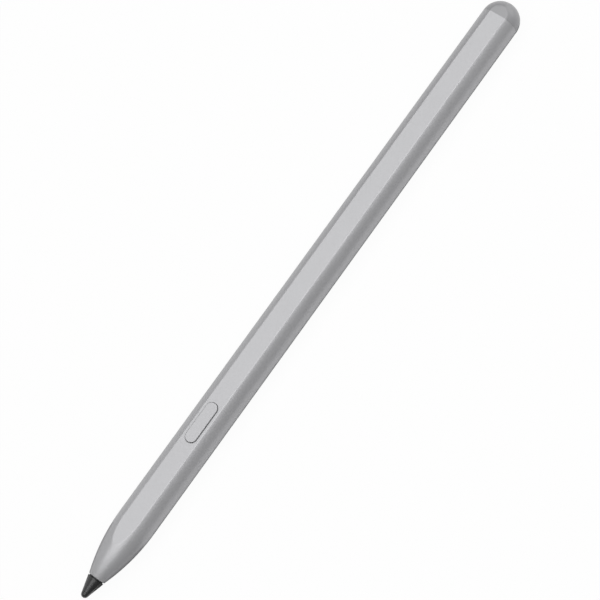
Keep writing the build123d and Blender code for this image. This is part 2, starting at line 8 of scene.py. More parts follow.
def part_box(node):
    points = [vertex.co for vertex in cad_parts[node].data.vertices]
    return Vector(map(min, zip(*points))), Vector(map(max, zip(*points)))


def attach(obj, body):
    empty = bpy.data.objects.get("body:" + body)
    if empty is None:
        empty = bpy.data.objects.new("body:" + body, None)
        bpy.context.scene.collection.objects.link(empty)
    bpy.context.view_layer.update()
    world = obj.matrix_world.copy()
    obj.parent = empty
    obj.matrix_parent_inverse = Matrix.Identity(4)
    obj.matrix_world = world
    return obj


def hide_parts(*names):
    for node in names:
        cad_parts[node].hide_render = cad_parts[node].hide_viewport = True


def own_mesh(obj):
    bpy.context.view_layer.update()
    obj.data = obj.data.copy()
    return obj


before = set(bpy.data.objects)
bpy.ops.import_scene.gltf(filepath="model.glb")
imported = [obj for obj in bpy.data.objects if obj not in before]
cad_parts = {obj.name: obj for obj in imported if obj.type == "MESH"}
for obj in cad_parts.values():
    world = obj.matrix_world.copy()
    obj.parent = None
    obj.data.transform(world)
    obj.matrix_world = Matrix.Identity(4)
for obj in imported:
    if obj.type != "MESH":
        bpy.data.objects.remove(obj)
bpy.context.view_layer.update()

# Barrel
# A tube moulded in polycarbonate, round with one flat along its whole length and an ogive nose.
# It is sprayed with a satin lacquer that holds fine metal flake, and a pill-shaped slot for the
# button goes through the flat. Sizes are in millimetres, and distances run from the nib's tip.
mm = 0.001
pen_length = 162.0
barrel_radius = 4.5
barrel_wall = 0.8
barrel_segments = 360
flat_height = 4.0
flat_softness = 0.05
mouth = 5.05
mouth_radius = 1.99
mouth_lip = 0.05
mouth_bore = 1.78
mouth_bore_end = 5.85
stem_bore = 1.2
chamber_start = 8.45
chamber_end = 13.25
chamber_radius = 2.2
nose_end = 19.8
nose_rings = 80
body_rings = 14
cap_seam = 157.25
seam_break = 0.03
weld_distance = 0.0005


def add_node(tree, kind, inputs=None, **settings):
    """Adds a node. A socket given for an input is linked to it, and any other value is set on it."""
    node = tree.nodes.new(kind)
    for name, value in settings.items():
        setattr(node, name, value)
    for key, value in (inputs or {}).items():
        if isinstance(value, bpy.types.NodeSocket):
            tree.links.new(value, node.inputs[key])
        else:
            node.inputs[key].default_value = value
    return node


def to_linear(hex_colour):
    """Linear RGBA of an sRGB hex colour."""
    parts = [int(hex_colour[i : i + 2], 16) / 255 for i in (1, 3, 5)]
    return (*[c / 12.92 if c <= 0.04045 else ((c + 0.055) / 1.055) ** 2.4 for c in parts], 1.0)


def new_finish(name, roughness, metallic=0.0, ior=1.5):
    """A material with its shader set, its tree, and the coordinates that its patterns read."""
    finish = bpy.data.materials.new(name)
    finish.use_nodes = True
    shader = finish.node_tree.nodes["Principled BSDF"]
    shader.inputs["Roughness"].default_value = roughness
    shader.inputs["Metallic"].default_value = metallic
    shader.inputs["IOR"].default_value = ior
    coords = add_node(finish.node_tree, "ShaderNodeTexCoord")
    return finish, finish.node_tree, coords.outputs["Object"]


def join_finish(tree, colours, roughness=None, relief=None, others=None):
    """Links patterns to the shader of a finish. Each is a socket and what it ranges over: from one
    colour to another, from one roughness to another, or relief with its strength and depth in mm."""
    share, *tones = colours
    first, second = [to_linear(t) if isinstance(t, str) else t for t in tones]
    tone = add_node(tree, "ShaderNodeMix", {0: share, 6: first, 7: second}, data_type="RGBA")
    links = {"Base Color": tone.outputs[2], **(others or {})}
    if roughness:
        value, low, high = roughness
        satin = add_node(tree, "ShaderNodeMapRange", {"Value": value, "To Min": low, "To Max": high})
        links["Roughness"] = satin.outputs["Result"]
    if relief:
        height, strength, depth = relief
        raised = add_node(
            tree, "ShaderNodeBump", {"Height": height, "Strength": strength, "Distance": depth * mm}
        )
        links["Normal"] = raised.outputs["Normal"]
    for name, socket in links.items():
        tree.links.new(socket, tree.nodes["Principled BSDF"].inputs[name])


# Satin lacquer with metal flake: grey, a soft mirror for the lamp overhead, with a faint sparkle
# and the slight orange peel of a sprayed coat. Real flake is about 0.03 mm; it is drawn at 0.2 mm
# so that it shows at all.
lacquer, tree, place = new_finish("satin_metal_flake_lacquer", 0.41, metallic=0.35)
flake = add_node(tree, "ShaderNodeTexVoronoi", {"Vector": place, "Scale": 1 / (0.2 * mm)})
cloud = add_node(tree, "ShaderNodeTexNoise", {"Vector": place, "Scale": 1 / (6.0 * mm), "Detail": 3.0})
peel = add_node(tree, "ShaderNodeTexNoise", {"Vector": place, "Scale": 1 / (0.7 * mm), "Detail": 1.0})
join_finish(
    tree,
    colours=(flake.outputs["Color"], "#A8A8AA", "#ACACAE"),
    roughness=(cloud.outputs["Fac"], 0.38, 0.44),
    relief=(peel.outputs["Fac"], 0.05, 0.02),
)

# The rule for turned pieces: each point of the profile carries its place along the pen, the height
# at which the flat cuts it and its radius, and the tree turns the profile about the pen's axis. The
# seam of the skin lies underneath.
turning = bpy.data.node_groups.new("turned_about_the_pen", "GeometryNodeTree")
for socket_name, socket_type in (
    ("Profile", "NodeSocketGeometry"),
    ("Segments", "NodeSocketInt"),
    ("Axis Height", "NodeSocketFloat"),
    ("Edge Softness", "NodeSocketFloat"),
    ("Finish", "NodeSocketMaterial"),
):
    turning.interface.new_socket(socket_name, in_out="INPUT", socket_type=socket_type)
turning.interface.new_socket("Piece", in_out="OUTPUT", socket_type="NodeSocketGeometry")
given = add_node(turning, "NodeGroupInput").outputs
rings = add_node(turning, "GeometryNodeAttributeDomainSize", {"Geometry": given["Profile"]})
columns = add_node(turning, "ShaderNodeMath", {0: given["Segments"], 1: 1.0}, operation="ADD")
skin = add_node(
    turning,
    "GeometryNodeMeshGrid",
    {"Vertices X": rings.outputs["Point Count"], "Vertices Y": columns.outputs[0]},
)
index = add_node(turning, "GeometryNodeInputIndex")
ring_share = add_node(
    turning, "ShaderNodeMath", {0: index.outputs[0], 1: columns.outputs[0]}, operation="DIVIDE"
)
ring = add_node(turning, "ShaderNodeMath", {0: ring_share.outputs[0]}, operation="FLOOR")
column = add_node(
    turning, "ShaderNodeMath", {0: index.outputs[0], 1: columns.outputs[0]}, operation="MODULO"
)
turn = add_node(
    turning, "ShaderNodeMath", {0: column.outputs[0], 1: given["Segments"]}, operation="DIVIDE"
)
angle = add_node(
    turning, "ShaderNodeMath", {0: turn.outputs[0], 1: 2 * pi, 2: pi}, operation="MULTIPLY_ADD"
)
profile_point = add_node(turning, "GeometryNodeInputPosition")
on_profile = add_node(
    turning,
    "GeometryNodeSampleIndex",
    data_type="FLOAT_VECTOR",
    inputs={
        "Geometry": given["Profile"],
        "Value": profile_point.outputs[0],
        "Index": ring.outputs[0],
    },
)
parts_of = add_node(turning, "ShaderNodeSeparateXYZ", {0: on_profile.outputs[0]}).outputs
sine = add_node(turning, "ShaderNodeMath", {0: angle.outputs[0]}, operation="SINE")
cosine = add_node(turning, "ShaderNodeMath", {0: angle.outputs[0]}, operation="COSINE")
across = add_node(turning, "ShaderNodeMath", {0: parts_of["Z"], 1: sine.outputs[0]}, operation="MULTIPLY")
upward = add_node(turning, "ShaderNodeMath", {0: parts_of["Z"], 1: cosine.outputs[0]}, operation="MULTIPLY")
flatted = add_node(
    turning,
    "ShaderNodeMath",
    {0: upward.outputs[0], 1: parts_of["Y"], 2: given["Edge Softness"]},
    operation="SMOOTH_MIN",
)
height = add_node(
    turning, "ShaderNodeMath", {0: flatted.outputs[0], 1: given["Axis Height"]}, operation="ADD"
)
placed = add_node(
    turning, "ShaderNodeCombineXYZ", {"X": parts_of["X"], "Y": across.outputs[0], "Z": height.outputs[0]}
)
turned_skin = add_node(
    turning, "GeometryNodeSetPosition", {"Geometry": skin.outputs["Mesh"], "Position": placed.outputs[0]}
)
closed_skin = add_node(
    turning,
    "GeometryNodeMergeByDistance",
    {"Geometry": turned_skin.outputs[0], "Distance": weld_distance * mm},
)
whole = add_node(turning, "GeometryNodeRealizeInstances", {"Geometry": closed_skin.outputs[0]})
finished = add_node(
    turning, "GeometryNodeSetMaterial", {"Geometry": whole.outputs[0], "Material": given["Finish"]}
)
add_node(turning, "NodeGroupOutput", {"Piece": finished.outputs[0]})


def plain_mesh(maker, name, sharp_angle=35):
    """Turns an object with modifiers into a plain piece with clean outward faces."""
    bpy.context.view_layer.update()
    made = maker.evaluated_get(bpy.context.evaluated_depsgraph_get())
    mesh = bpy.data.meshes.new_from_object(made)
    bpy.data.objects.remove(maker)
    work = bmesh.new()
    work.from_mesh(mesh)
    bmesh.ops.recalc_face_normals(work, faces=work.faces)
    for face in work.faces:
        face.smooth = True
    work.to_mesh(mesh)
    work.free()
    mesh.set_sharp_from_angle(angle=radians(sharp_angle))
    mesh.name = name
    piece = bpy.data.objects.new(name, mesh)
    bpy.context.scene.collection.objects.link(piece)
    return piece


def piece_by_rule(name, rule, start_mesh, sizes):
    """A piece that a node tree makes from a start mesh and named sizes."""
    maker = bpy.data.objects.new(name + "_maker", start_mesh)
    bpy.context.scene.collection.objects.link(maker)
    making = maker.modifiers.new("rule", "NODES")
    making.node_group = rule
    for socket in rule.interface.items_tree:
        if socket.name in sizes:
            making[socket.identifier] = sizes[socket.name]
    return plain_mesh(maker, name)


def turned_piece(name, profile, segments, softness, finish):
    """A piece turned from its profile, a list of distance, flat height and radius in mm."""
    mesh = bpy.data.meshes.new(name + "_profile")
    points = [((d - pen_length / 2) * mm, flat * mm, r * mm) for d, flat, r in profile]
    mesh.from_pydata(points, [(i, i + 1) for i in range(len(points) - 1)], [])
    sizes = {
        "Segments": segments,
        "Axis Height": barrel_radius * mm,
        "Edge Softness": softness * mm,
        "Finish": finish,
    }
    return piece_by_rule(name, turning, mesh, sizes)


ogive_radius = ((nose_end - mouth) ** 2 + (barrel_radius - mouth_radius) ** 2) / (
    2 * (barrel_radius - mouth_radius)
)


def nose_radius(distance):
    """Outer radius of the barrel at a distance from the nib's tip."""
    return barrel_radius - ogive_radius + sqrt(ogive_radius**2 - max(0.0, nose_end - distance) ** 2)


# The outside runs from the mouth to the cap's seam, and the bore runs back with every third ring.
nose_run = nose_end - mouth - mouth_lip
nose_places = [mouth + mouth_lip + nose_run * i / nose_rings for i in range(nose_rings + 1)]
body_run = cap_seam - seam_break - nose_end
body_places = [nose_end + body_run * i / body_rings for i in range(1, body_rings + 1)]
outside = [(mouth, flat_height, mouth_radius - mouth_lip)]
outside += [(d, flat_height, nose_radius(d)) for d in nose_places + body_places]
outside += [(cap_seam, flat_height, barrel_radius - seam_break)]
cavity_radius = barrel_radius - barrel_wall
inner_flat = flat_height - barrel_wall
bore = [(d, cavity_radius) for d in [cap_seam] + body_places[-3::-3] + [nose_end]]
bore += [(chamber_end, chamber_radius), (chamber_start, chamber_radius), (chamber_start, stem_bore)]
bore += [(mouth_bore_end, stem_bore), (mouth_bore_end, mouth_bore), (mouth, mouth_bore)]
inside = [(d, inner_flat, radius) for d, radius in bore]
barrel_blank = turned_piece(
    "barrel_blank", outside + inside + outside[:1], barrel_segments, flat_softness, lacquer
)


def pill_outline(length, width, corner_steps=24):
    """Points of a pill, anticlockwise, about its middle."""
    radius = width / 2
    reach = length / 2 - radius
    half = [pi * i / corner_steps - pi / 2 for i in range(corner_steps + 1)]
    front = [(reach + radius * cos(a), radius * sin(a)) for a in half]
    return front + [(-x, -y) for x, y in front]


def lofted_pill(name, middle, levels, finish):
    """A closed solid through pills, each level a height above the axis, a length and a width."""
    work = bmesh.new()
    loops = []
    x0 = middle - pen_length / 2
    for level, length, width in levels:
        z = (barrel_radius + level) * mm
        outline = pill_outline(length, width)
        loops.append([work.verts.new(((x0 + x) * mm, y * mm, z)) for x, y in outline])
    for low, high in zip(loops, loops[1:]):
        for i in range(len(low)):
            j = (i + 1) % len(low)
            work.faces.new((low[i], low[j], high[j], high[i]))
    work.faces.new(loops[0][::-1])
    work.faces.new(loops[-1])
    bmesh.ops.remove_doubles(work, verts=work.verts, dist=weld_distance * mm)
    mesh = bpy.data.meshes.new(name)
    work.to_mesh(mesh)
    work.free()
    mesh.materials.append(finish)
    solid = bpy.data.objects.new(name, mesh)
    bpy.context.scene.collection.objects.link(solid)
    return solid


# The slot is as much larger than the button as its gap, with a fine break along its upper edge.
button_middle = 45.1
button_length = 10.13
button_width = 2.83
button_gap = 0.1
slot_length = button_length + 2 * button_gap
slot_width = button_width + 2 * button_gap
slot_edge = 0.02
slot_cutter = lofted_pill(
    "slot_cutter",
    button_middle,
    [
        (flat_height - 2 * barrel_wall, slot_length, slot_width),
        (flat_height - slot_edge, slot_length, slot_width),
        (flat_height + slot_edge, slot_length + 4 * slot_edge, slot_width + 4 * slot_edge),
    ],
    lacquer,
)
slot_cut = barrel_blank.modifiers.new("slot", "BOOLEAN")
slot_cut.operation = "DIFFERENCE"
slot_cut.solver = "EXACT"
slot_cut.object = slot_cutter
barrel = plain_mesh(barrel_blank, "barrel_shell")
bpy.data.objects.remove(slot_cutter)
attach(barrel, "barrel")
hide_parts("barrel")

# Side button
# A pill moulded in one with the flange that keeps it behind the slot and the nub that meets the
# switch, and sprayed with the barrel. It stands a little out of the flat, with a rounded edge.
button_rise = 0.4
button_edge = 0.15
edge_steps = 5
top_border = 0.05
flange_play = 0.05
flange_thickness = 0.4
flange_overlap = 0.7
flange_width = 3.48
nub_height = 0.3
nub_width = 1.6
button_top = flat_height + button_rise
flange_top = inner_flat - flange_play
flange_base = flange_top - flange_thickness
flange_length = slot_length + 2 * flange_overlap
nub_base = flange_base - nub_height
button_levels = [
    (nub_base, nub_width, nub_width),
    (flange_base, nub_width, nub_width),
    (flange_base, flange_length, flange_width),
    (flange_top, flange_length, flange_width),
    (flange_top, button_length, button_width),
]
for i in range(edge_steps + 1):
    lean = pi / 2 * i / edge_steps
    cut = 2 * button_edge * (1 - cos(lean))
    level = button_top - button_edge * (1 - sin(lean))
    button_levels.append((level, button_length - cut, button_width - cut))
cut += 2 * top_border
button_levels.append((button_top, button_length - cut, button_width - cut))
button_blank = lofted_pill("button_blank", button_middle, button_levels, lacquer)
button = plain_mesh(button_blank, "side_button_pill")
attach(button, "button")
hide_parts("side_button")

# Nib
# A cone with a rounded tip, turned from a dark conductive acetal, with a skirt that fills the mouth
# of the barrel and a stem behind it. It is a wearing part that pushes onto the pin of the shaft, and
# its cone is about 0.1 mm fuller here than its solid, as measured on the photograph.
nib_length = 4.75
nib_base_radius = 1.95
nib_base_edge = 0.04
nib_tip_radius = 0.86
nib_rubbed_length = 1.6
nib_skirt_radius = 1.7
nib_skirt_end = 5.35
nib_stem_radius = 1.1
nib_stem_end = 7.75
nib_socket_radius = 0.52
nib_socket_end = 3.13
nib_segments = 96
tip_steps = 14
cone_steps = 16

# Conductive acetal: near black, satin, with fine turning rings and a tip rubbed smooth and paler.
# Turning marks of 0.05 mm are drawn at 0.15 mm so that they show; a wave's scale is pi / 10 over its
# spacing. Behind its base edge its reflection is turned down, a painted shade for the gap before the
# mouth, so that the gap reads as a dark line.
nib_polymer, tree, place = new_finish("conductive_acetal_turned", 0.24, ior=1.75)
grain = add_node(tree, "ShaderNodeTexNoise", {"Vector": place, "Scale": 1 / (0.4 * mm), "Detail": 4.0})
tone = add_node(
    tree,
    "ShaderNodeMix",
    {0: grain.outputs["Fac"], 6: to_linear("#202021"), 7: to_linear("#282829")},
    data_type="RGBA",
)
along = add_node(tree, "ShaderNodeSeparateXYZ", {0: place})
worn = add_node(
    tree,
    "ShaderNodeMapRange",
    {
        "Value": along.outputs["X"],
        "From Min": -pen_length / 2 * mm,
        "From Max": (nib_rubbed_length - pen_length / 2) * mm,
        "To Min": 0.5,
        "To Max": 0.0,
    },
)
# Painted shade: the reflection behind the base edge is turned down to darken the gap before the mouth.
painted_gap_shade = add_node(
    tree,
    "ShaderNodeMapRange",
    {
        "Value": along.outputs["X"],
        "From Min": (nib_length - nib_base_edge - pen_length / 2) * mm,
        "From Max": (nib_length - pen_length / 2) * mm,
        "To Min": 0.5,
        "To Max": 0.1,
    },
)
turning_rings = add_node(
    tree,
    "ShaderNodeTexWave",
    {"Vector": place, "Scale": pi / (10 * 0.15 * mm), "Distortion": 0.6},
    bands_direction="X",
)
join_finish(
    tree,
    colours=(worn.outputs["Result"], tone.outputs[2], "#343435"),
    relief=(turning_rings.outputs["Fac"], 0.12, 0.01),
    others={"Specular IOR Level": painted_gap_shade.outputs["Result"]},
)

# Round pieces take a flat height that no radius reaches, and next to no softness.
no_flat = 50.0
crisp = 0.001
cone_run = nib_length - nib_tip_radius
cone_angle = atan2(nib_base_radius, cone_run) - asin(nib_tip_radius / hypot(nib_base_radius, cone_run))
nib_line = []
for i in range(tip_steps + 1):
    lean = (pi / 2 - cone_angle) * i / tip_steps
    nib_line.append((nib_tip_radius * (1 - cos(lean)), nib_tip_radius * sin(lean)))
cone_start, cone_radius = nib_line[-1]
cone_end = nib_length - nib_base_edge
for i in range(1, cone_steps + 1):
    share = i / cone_steps
    distance = cone_start + (cone_end - cone_start) * share
    nib_line.append((distance, cone_radius + (nib_base_radius - cone_radius) * share))
nib_line += [
    (nib_length, nib_base_radius - nib_base_edge),
    (nib_length, nib_skirt_radius),
    (nib_skirt_end, nib_skirt_radius),
    (nib_skirt_end, nib_stem_radius),
    (nib_stem_end, nib_stem_radius),
    (nib_stem_end, nib_socket_radius),
    (nib_socket_end, nib_socket_radius),
    (nib_socket_end, 0.0),
]
nib_profile = [(distance, no_flat, radius) for distance, radius in nib_line]
nib = turned_piece("nib_cone", nib_profile, nib_segments, crisp, nib_polymer)
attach(nib, "nib")
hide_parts("nib")

# Nib shaft
# A stainless pin turned in one piece with its shoulder and its stop collar. The nib pushes onto its
# front end, and its tail presses on the force pad.


def coat(finish, *names):
    """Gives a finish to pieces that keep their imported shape."""
    for name in names:
        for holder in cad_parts[name].material_slots:
            holder.material = finish


# Turned stainless steel: bright, with fine rings across the pin that spread the light along it.
# Feed marks of 0.04 mm are drawn at 0.12 mm so that they show.
steel, tree, place = new_finish("turned_stainless_steel", 0.27, metallic=1.0)
feed_marks = add_node(
    tree,
    "ShaderNodeTexWave",
    {"Vector": place, "Scale": pi / (10 * 0.12 * mm), "Distortion": 0.8},
    bands_direction="X",
)
join_finish(
    tree,
    colours=(feed_marks.outputs["Fac"], "#B4B4B6", "#C6C6C8"),
    roughness=(feed_marks.outputs["Fac"], 0.2, 0.34),
    relief=(feed_marks.outputs["Fac"], 0.2, 0.01),
)
coat(steel, "nib_shaft")

# Guide bush and switch plunger
# A flanged sleeve that the shaft slides in, and the small peg of the switch. Both are moulded in
# natural acetal, which runs on metal without grease.

# Natural acetal: milky white with a waxy sheen and faint clouds where the melt flowed.
acetal, tree, place = new_finish("natural_acetal_moulded", 0.35, ior=1.48)
melt = add_node(tree, "ShaderNodeTexNoise", {"Vector": place, "Scale": 1 / (1.2 * mm), "Detail": 3.0})
join_finish(
    tree,
    colours=(melt.outputs["Fac"], "#D9D7CE", "#E8E6DF"),
    roughness=(melt.outputs["Fac"], 0.28, 0.42),
)
coat(acetal, "guide_bush", "switch_plunger")

# Tilt electrode
# A brass ring slipped over the neck of the bush, held between its flange and the nose. It sends the
# second signal, from which a tablet works out the tilt.

# Turned brass: warm yellow, with turning rings drawn at 0.12 mm and a thin brown tarnish in patches.
brass, tree, place = new_finish("turned_brass", 0.3, metallic=1.0)
tarnish = add_node(tree, "ShaderNodeTexNoise", {"Vector": place, "Scale": 1 / (0.9 * mm), "Detail": 4.0})
feed_marks = add_node(
    tree,
    "ShaderNodeTexWave",
    {"Vector": place, "Scale": pi / (10 * 0.12 * mm), "Distortion": 0.8},
    bands_direction="X",
)
join_finish(
    tree,
    colours=(tarnish.outputs["Fac"], "#A98746", "#D6B566"),
    relief=(feed_marks.outputs["Fac"], 0.2, 0.01),
)
coat(brass, "tilt_electrode")

# Return spring
# A coil of drawn spring wire round the shaft, between its collar and the sensor holder. It pushes
# the nib forward again, and in the real pen shortens by the nib's travel when the nib is pressed; here
# it is a rigid piece of the barrel.
spring_turns = 4
spring_turn_points = 48
spring_wire_radius = 0.125 * mm
spring_wire_sides = 14

# Drawn spring wire: dull dark steel, with patches of the oil film that it was tempered in.
spring_wire, tree, place = new_finish("oil_tempered_spring_wire", 0.36, metallic=1.0)
film = add_node(tree, "ShaderNodeTexNoise", {"Vector": place, "Scale": 1 / (0.3 * mm), "Detail": 3.0})
join_finish(
    tree,
    colours=(film.outputs["Fac"], "#77777B", "#A2A2A6"),
    roughness=(film.outputs["Fac"], 0.28, 0.44),
)

# The rule for wound wire: one unbroken line winds along X at a steady pitch round an oval, which a
# small corner share squares up, and a round section is swept along it.
winding = bpy.data.node_groups.new("wound_wire", "GeometryNodeTree")
for socket_name, socket_type in (
    ("Turns", "NodeSocketInt"),
    ("Points Per Turn", "NodeSocketInt"),
    ("Start", "NodeSocketFloat"),
    ("Length", "NodeSocketFloat"),
    ("Half Width", "NodeSocketFloat"),
    ("Half Height", "NodeSocketFloat"),
    ("Corner Share", "NodeSocketFloat"),
    ("Axis Height", "NodeSocketFloat"),
    ("Wire Radius", "NodeSocketFloat"),
    ("Wire Sides", "NodeSocketInt"),
    ("Finish", "NodeSocketMaterial"),
):
    winding.interface.new_socket(socket_name, in_out="INPUT", socket_type=socket_type)
winding.interface.new_socket("Piece", in_out="OUTPUT", socket_type="NodeSocketGeometry")
given = add_node(winding, "NodeGroupInput").outputs
steps = add_node(
    winding, "ShaderNodeMath", {0: given["Turns"], 1: given["Points Per Turn"]}, operation="MULTIPLY"
)
points = add_node(winding, "ShaderNodeMath", {0: steps.outputs[0], 1: 1.0}, operation="ADD")
line = add_node(winding, "GeometryNodeCurvePrimitiveLine")
beads = add_node(
    winding, "GeometryNodeResampleCurve", {"Curve": line.outputs[0], "Count": points.outputs[0]}
)
index = add_node(winding, "GeometryNodeInputIndex")
share = add_node(
    winding, "ShaderNodeMath", {0: index.outputs[0], 1: steps.outputs[0]}, operation="DIVIDE"
)
along = add_node(
    winding,
    "ShaderNodeMath",
    {0: share.outputs[0], 1: given["Length"], 2: given["Start"]},
    operation="MULTIPLY_ADD",
)
turns_done = add_node(
    winding, "ShaderNodeMath", {0: share.outputs[0], 1: given["Turns"]}, operation="MULTIPLY"
)
angle = add_node(winding, "ShaderNodeMath", {0: turns_done.outputs[0], 1: 2 * pi}, operation="MULTIPLY")
reach = {}
for way, half_size in (("COSINE", "Half Width"), ("SINE", "Half Height")):
    swing = add_node(winding, "ShaderNodeMath", {0: angle.outputs[0]}, operation=way)
    side = add_node(winding, "ShaderNodeMath", {0: swing.outputs[0]}, operation="SIGN")
    size = add_node(winding, "ShaderNodeMath", {0: swing.outputs[0]}, operation="ABSOLUTE")
    squared = add_node(
        winding, "ShaderNodeMath", {0: size.outputs[0], 1: given["Corner Share"]}, operation="POWER"
    )
    signed = add_node(
        winding, "ShaderNodeMath", {0: squared.outputs[0], 1: side.outputs[0]}, operation="MULTIPLY"
    )
    scaled = add_node(
        winding, "ShaderNodeMath", {0: signed.outputs[0], 1: given[half_size]}, operation="MULTIPLY"
    )
    reach[half_size] = scaled.outputs[0]
height = add_node(
    winding, "ShaderNodeMath", {0: reach["Half Height"], 1: given["Axis Height"]}, operation="ADD"
)
placed = add_node(
    winding,
    "ShaderNodeCombineXYZ",
    {"X": along.outputs[0], "Y": reach["Half Width"], "Z": height.outputs[0]},
)
path = add_node(
    winding, "GeometryNodeSetPosition", {"Geometry": beads.outputs[0], "Position": placed.outputs[0]}
)
section = add_node(
    winding,
    "GeometryNodeCurvePrimitiveCircle",
    {"Resolution": given["Wire Sides"], "Radius": given["Wire Radius"]},
)
tube = add_node(
    winding,
    "GeometryNodeCurveToMesh",
    {"Curve": path.outputs[0], "Profile Curve": section.outputs[0], "Fill Caps": True},
)
whole = add_node(winding, "GeometryNodeRealizeInstances", {"Geometry": tube.outputs[0]})
finished = add_node(
    winding, "GeometryNodeSetMaterial", {"Geometry": whole.outputs[0], "Material": given["Finish"]}
)
add_node(winding, "NodeGroupOutput", {"Piece": finished.outputs[0]})

low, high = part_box("return_spring")
spring = piece_by_rule(
    "return_spring_coil",
    winding,
    bpy.data.meshes.new("return_spring_start"),
    {
        "Turns": spring_turns,
        "Points Per Turn": spring_turn_points,
        "Start": low.x + spring_wire_radius,
        "Length": high.x - low.x - 2 * spring_wire_radius,
        "Half Width": high.y - spring_wire_radius,
        "Half Height": high.y - spring_wire_radius,
        "Corner Share": 1.0,
        "Axis Height": barrel_radius * mm,
        "Wire Radius": spring_wire_radius,
        "Wire Sides": spring_wire_sides,
        "Finish": spring_wire,
    },
)
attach(spring, "barrel")
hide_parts("return_spring")
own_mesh(spring)

# Force pad
# A small disc of silicone rubber between the tail of the shaft and the sensor. It is punched with a
# slightly rounded edge, and in the real pen gives by the nib's travel; here it is a rigid piece of the
# barrel.
pad_front, pad_back = [corner.x / mm + pen_length / 2 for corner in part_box("force_pad")]
pad_radius = 1.1
pad_edge = 0.12
pad_edge_steps = 5
pad_segments = 64

# Moulded silicone: soft black that drinks the light, with a close mould grain drawn at 0.1 mm.
silicone, tree, place = new_finish("moulded_silicone_rubber", 0.68, ior=1.41)
bloom = add_node(tree, "ShaderNodeTexNoise", {"Vector": place, "Scale": 1 / (0.8 * mm), "Detail": 3.0})
close_grain = add_node(
    tree, "ShaderNodeTexNoise", {"Vector": place, "Scale": 1 / (0.1 * mm), "Detail": 2.0}
)
join_finish(
    tree,
    colours=(bloom.outputs["Fac"], "#18181A", "#2A2A2C"),
    roughness=(bloom.outputs["Fac"], 0.58, 0.78),
    relief=(close_grain.outputs["Fac"], 0.25, 0.02),
)

pad_line = [(pad_front, 0.0)]
for middle, first in ((pad_front + pad_edge, 0), (pad_back - pad_edge, 1)):
    for i in range(pad_edge_steps + 1):
        lean = pi / 2 * (first + i / pad_edge_steps)
        pad_line.append((middle - pad_edge * cos(lean), pad_radius - pad_edge + pad_edge * sin(lean)))
pad_line.append((pad_back, 0.0))
pad_profile = [(distance, no_flat, radius) for distance, radius in pad_line]
force_pad = turned_piece("force_pad_disc", pad_profile, pad_segments, crisp, silicone)
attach(force_pad, "barrel")
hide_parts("force_pad")
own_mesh(force_pad)

# Sensor holder and chassis
# The cup that carries the force sensor, and the long tray behind it for board, battery, coil and
# magnets. Both are moulded in nylon filled with short glass fibre, and slide into the tube.

# Glass-filled nylon: black and dull, with pale fibres that lie along the flow of the mould. Fibres
# of 0.01 by 0.3 mm are drawn 0.06 mm wide and 0.6 mm long so that they show.
filled_nylon, tree, place = new_finish("glass_filled_nylon", 0.6, ior=1.53)
flow = add_node(
    tree,
    "ShaderNodeMapping",
    {"Vector": place, "Scale": (1 / (0.6 * mm), 1 / (0.06 * mm), 1 / (0.06 * mm))},
)
fibres = add_node(tree, "ShaderNodeTexNoise", {"Vector": flow.outputs[0], "Scale": 1.0, "Detail": 2.0})
bright_fibres = add_node(
    tree,
    "ShaderNodeMapRange",
    {"Value": fibres.outputs["Fac"], "From Min": 0.55, "From Max": 0.75},
)
join_finish(
    tree,
    colours=(bright_fibres.outputs["Result"], "#19191B", "#39393C"),
    roughness=(fibres.outputs["Fac"], 0.5, 0.7),
    relief=(fibres.outputs["Fac"], 0.2, 0.02),
)
coat(filled_nylon, "sensor_holder", "chassis")

# Pressure sensor and antenna chip
# A stepped force capsule that backs on the chassis, and the chip antenna in the plastic end. Both
# are pressed and fired alumina.

# Fired alumina: matt cream with a fine grain and small darker specks. Grain of 0.01 mm is drawn at
# 0.08 mm so that it shows.
alumina, tree, place = new_finish("fired_alumina", 0.5, ior=1.76)
specks = add_node(tree, "ShaderNodeTexVoronoi", {"Vector": place, "Scale": 1 / (0.25 * mm)})
dark_specks = add_node(
    tree,
    "ShaderNodeMapRange",
    {"Value": specks.outputs["Distance"], "From Min": 0.1, "From Max": 0.3},
)
fired_grain = add_node(
    tree, "ShaderNodeTexNoise", {"Vector": place, "Scale": 1 / (0.08 * mm), "Detail": 2.0}
)
join_finish(
    tree,
    colours=(dark_specks.outputs["Result"], "#B9B4A6", "#DCD8CC"),
    relief=(fired_grain.outputs["Fac"], 0.15, 0.01),
)
coat(alumina, "pressure_sensor", "antenna_chip")

# Flexible circuits
# The short circuit from the sensor to the board, and the long one from the board under the chassis
# to the coil and the antenna. They are polyimide film with copper conductors between two layers.

# Polyimide over copper: clear amber film, paler where a conductor of 0.3 mm runs along under it,
# one every 0.6 mm.
polyimide, tree, place = new_finish("polyimide_over_copper", 0.3, ior=1.7)
conductors = add_node(
    tree,
    "ShaderNodeTexWave",
    {"Vector": place, "Scale": pi / (10 * 0.6 * mm)},
    bands_direction="Y",
)
under_film = add_node(
    tree,
    "ShaderNodeMapRange",
    {"Value": conductors.outputs["Fac"], "From Min": 0.4, "From Max": 0.6},
)
join_finish(
    tree,
    colours=(under_film.outputs["Result"], "#8C4F14", "#C07C30"),
    relief=(under_film.outputs["Result"], 0.3, 0.02),
)
coat(polyimide, "sensor_flex", "main_flex")

# Circuit boards
# The main board on the rails of the chassis and the small board of the antenna. They are glass and
# epoxy laminate with etched copper, under green solder mask.

